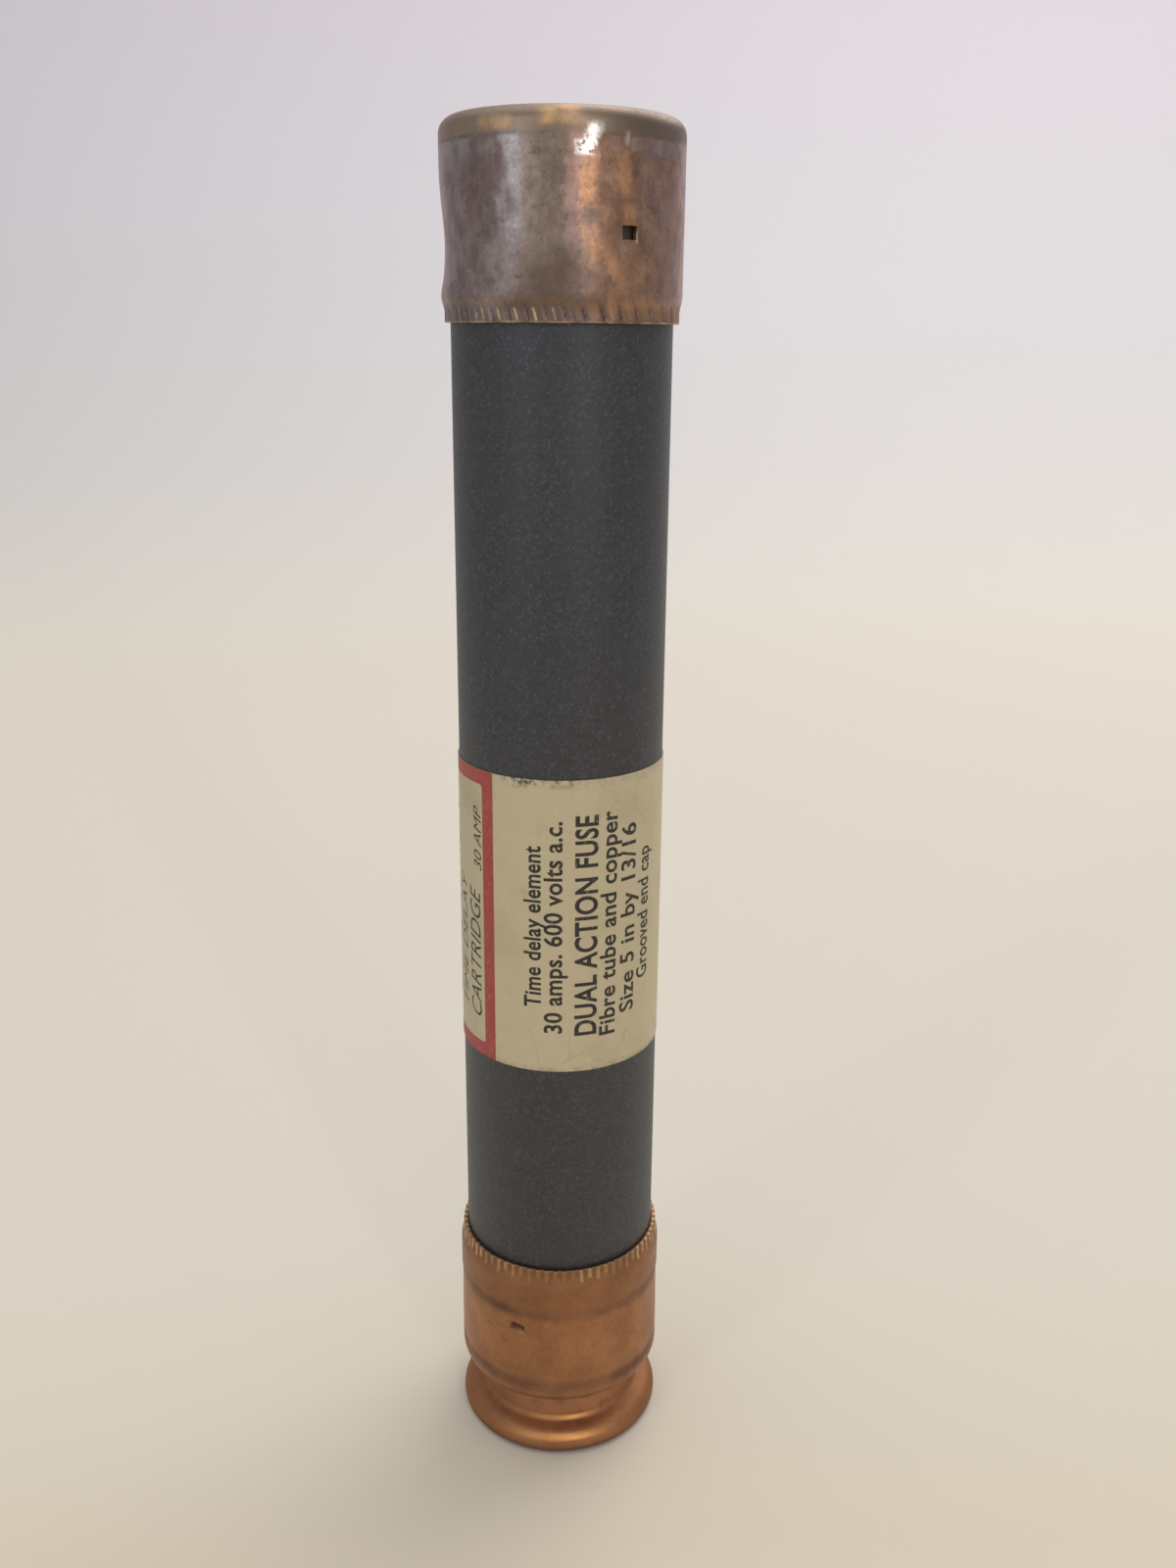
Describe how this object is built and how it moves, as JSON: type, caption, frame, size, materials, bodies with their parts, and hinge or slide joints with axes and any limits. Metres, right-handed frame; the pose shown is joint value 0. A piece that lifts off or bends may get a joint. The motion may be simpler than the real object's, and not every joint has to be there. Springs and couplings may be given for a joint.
{
  "type": "cartridge fuse",
  "caption": "Time-delay cartridge fuse: fibre tube with crimped end ferrules, one grooved for rejection clips, over fuse links and a spring-loaded overload trigger.",
  "frame": {"origin": "centre of the grooved ferrule's flat end face, which the fuse stands on", "axes": "+Z along the fuse, from the grooved ferrule to the plain one; -Y faces the printed side of the label that is shown"},
  "size_m": [0.0206, 0.0206, 0.127],
  "materials": {
    "case_fibre": "dark grey vulcanised fibre, matt, with fine speckle",
    "tarnished_copper": "tarnished copper alloy, heat-tinted purple, orange and silver grey",
    "copper": "satin copper, slightly brown",
    "label_paper": "cream coated paper, printed black and red",
    "pale_fibre": "plain",
    "solder": "dull solder",
    "link_copper": "bright copper",
    "quartz_sand": "packed quartz sand",
    "heater_steel": "resistance alloy",
    "spring_steel": "bright spring wire",
    "plunger_brass": "turned brass"
  },
  "bodies": {
    "case": {"fuse_tube": "case_fibre", "upper_ferrule": "tarnished_copper", "lower_ferrule": "copper", "label": "label_paper", "upper_end_washer": "pale_fibre", "lower_end_washer": "pale_fibre", "upper_solder_bead": "solder", "lower_solder_bead": "solder", "upper_link": "link_copper", "lower_link": "link_copper", "upper_filler": "quartz_sand", "lower_filler": "quartz_sand", "upper_partition": "pale_fibre", "lower_partition": "pale_fibre", "overload_sleeve": "pale_fibre", "heat_absorber": "link_copper", "heater_strip": "heater_steel", "fusing_alloy": "solder", "spring_seat": "pale_fibre", "trigger_spring": "spring_steel", "contact_bush": "link_copper"},
    "trigger": {"trigger_plunger": "plunger_brass"}
  },
  "joints": [
    {"name": "overload_release", "type": "slide", "parent": "case", "child": "trigger", "axis": [0, 0, 1], "range_m": [0, 0.0045], "deforming": ["trigger_spring"]}
  ]
}
